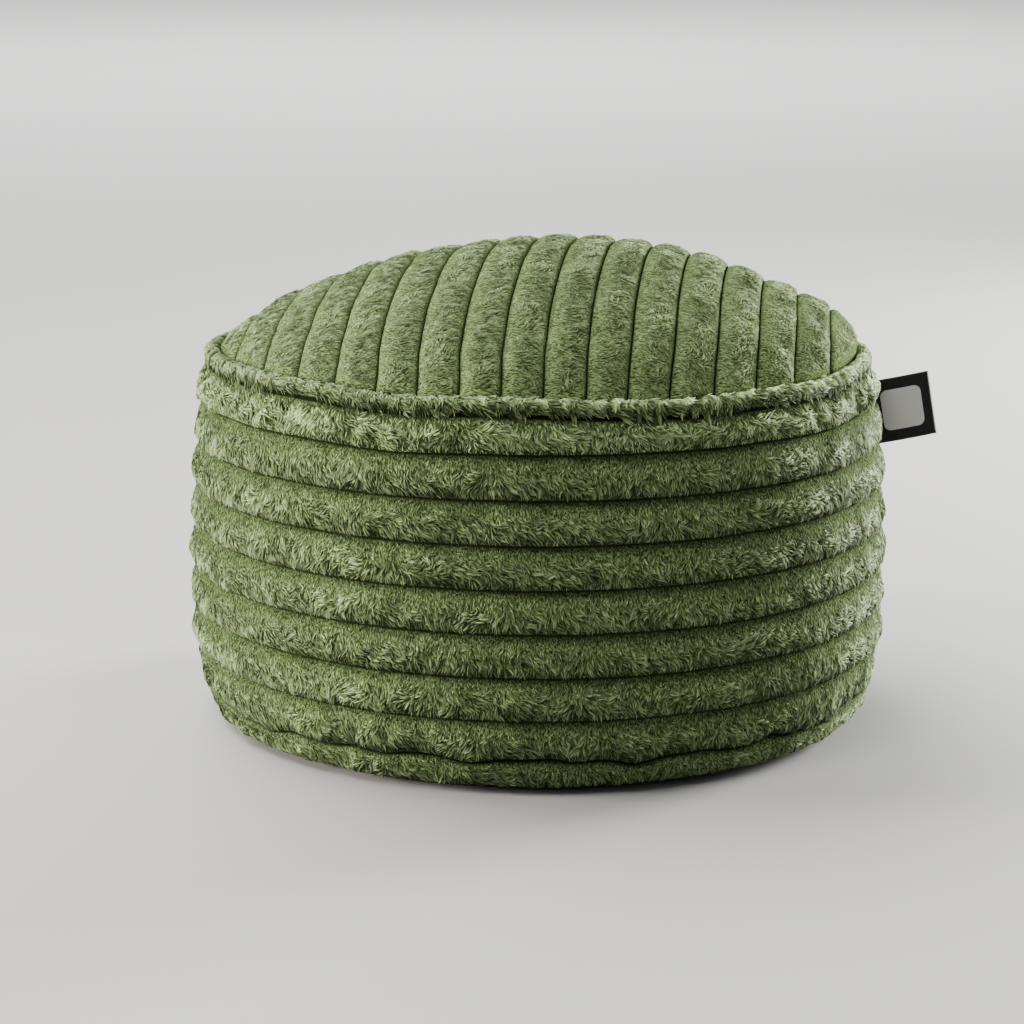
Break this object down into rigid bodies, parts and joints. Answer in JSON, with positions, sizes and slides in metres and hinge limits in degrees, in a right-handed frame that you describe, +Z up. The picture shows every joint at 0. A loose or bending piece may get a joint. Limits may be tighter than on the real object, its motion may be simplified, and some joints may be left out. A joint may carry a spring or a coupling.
{
  "type": "bean bag footstool",
  "caption": "Round bean bag footstool in channelled plush with a crowned top, piped top seam and a side label.",
  "frame": {"origin": "on the floor, under the middle of the base panel's flat underside", "axes": "+Z up through the crown; -Y is the front; +X points to the side that carries the label"},
  "size_m": [0.5447, 0.5048, 0.3396],
  "materials": {
    "plush": "moss green high-pile plush with wide stitched ribs",
    "base_canvas": "plain dark woven canvas",
    "label_tape": "black woven tape with a plain grey panel"
  },
  "bodies": {
    "root": {"top_panel": "plush", "side_band": "plush", "top_piping": "plush", "base_panel": "base_canvas", "label": "label_tape"}
  },
  "joints": []
}
